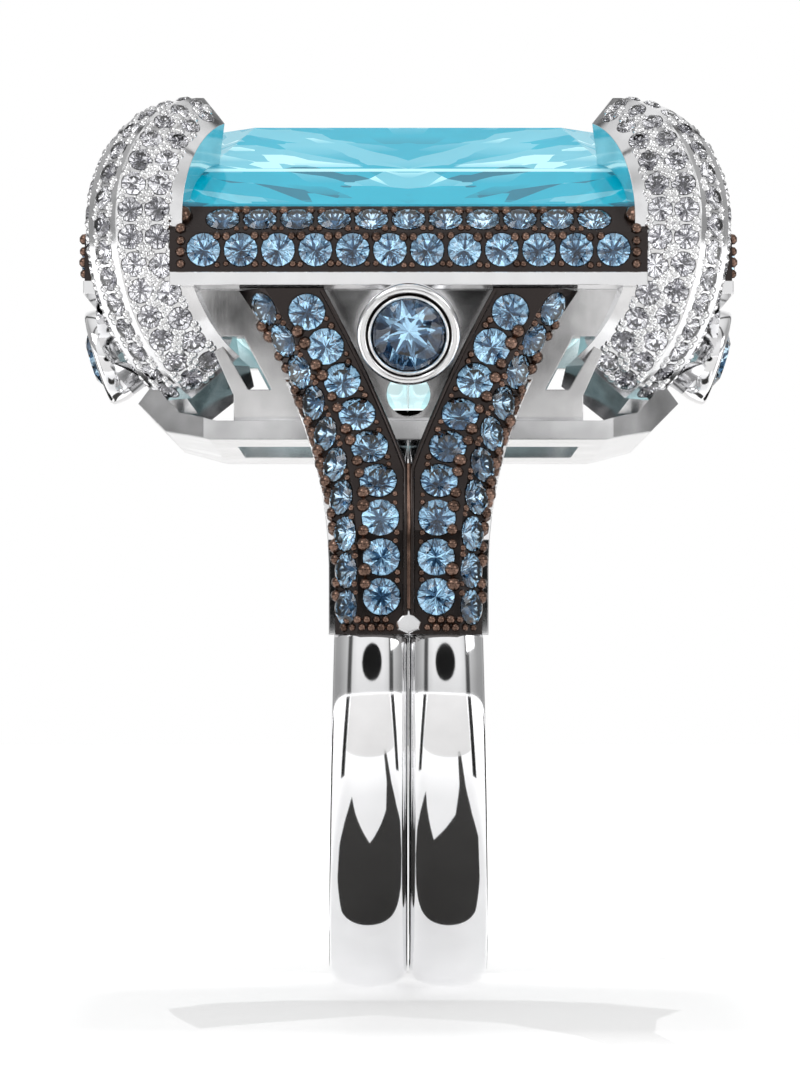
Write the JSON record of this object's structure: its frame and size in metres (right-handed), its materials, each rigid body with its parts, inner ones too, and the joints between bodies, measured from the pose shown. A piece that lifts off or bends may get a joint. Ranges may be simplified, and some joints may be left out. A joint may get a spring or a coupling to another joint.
{
  "type": "cocktail ring",
  "caption": "Cocktail ring with a split double shank, stone-set arms, bars and corner claws, and a large step-cut centre stone.",
  "frame": {"origin": "centre of the finger hole, on its axis and midway along it", "axes": "+X along the finger, +Z from the finger up to the centre stone's table, -Y to the front side of the head"},
  "size_m": [0.0232, 0.0218, 0.0312],
  "materials": {
    "polished_silver": "mirror polished",
    "black_rhodium": "glossy dark plating",
    "blue_stone": "faceted",
    "bezel_blue_stone": "faceted",
    "white_stone": "faceted",
    "aqua_stone": "step-cut facets"
  },
  "bodies": {
    "root": {"arm_stones_back_left": "blue_stone", "arm_stones_back_right": "blue_stone", "arm_stones_front_left": "blue_stone", "arm_stones_front_right": "blue_stone", "bar_stones_back": "blue_stone", "bar_stones_front": "blue_stone", "bar_stones_left": "blue_stone", "bar_stones_right": "blue_stone", "bezel_cup_back": "polished_silver", "bezel_cup_front": "polished_silver", "bezel_cup_left": "polished_silver", "bezel_cup_right": "polished_silver", "bezel_stone_back": "bezel_blue_stone", "bezel_stone_front": "bezel_blue_stone", "bezel_stone_left": "bezel_blue_stone", "bezel_stone_right": "bezel_blue_stone", "centre_stone": "aqua_stone", "claw_stones_back_left": "white_stone", "claw_stones_back_right": "white_stone", "claw_stones_front_left": "white_stone", "claw_stones_front_right": "white_stone", "corner_claw_back_left": "polished_silver", "corner_claw_back_right": "polished_silver", "corner_claw_front_left": "polished_silver", "corner_claw_front_right": "polished_silver", "gallery_tray": "polished_silver", "gallery_wall_back": "polished_silver", "gallery_wall_front": "polished_silver", "gallery_wall_left": "polished_silver", "gallery_wall_right": "polished_silver", "pave_arm_back_left": "black_rhodium", "pave_arm_back_right": "black_rhodium", "pave_arm_front_left": "black_rhodium", "pave_arm_front_right": "black_rhodium", "pave_bar_back": "black_rhodium", "pave_bar_front": "black_rhodium", "pave_bar_left": "black_rhodium", "pave_bar_right": "black_rhodium", "rail_back": "polished_silver", "rail_front": "polished_silver", "rail_left": "polished_silver", "rail_right": "polished_silver", "seat_frame": "polished_silver", "shank_band_left": "polished_silver", "shank_band_right": "polished_silver", "shoulder_back_left": "polished_silver", "shoulder_back_right": "polished_silver", "shoulder_front_left": "polished_silver", "shoulder_front_right": "polished_silver"}
  },
  "joints": []
}
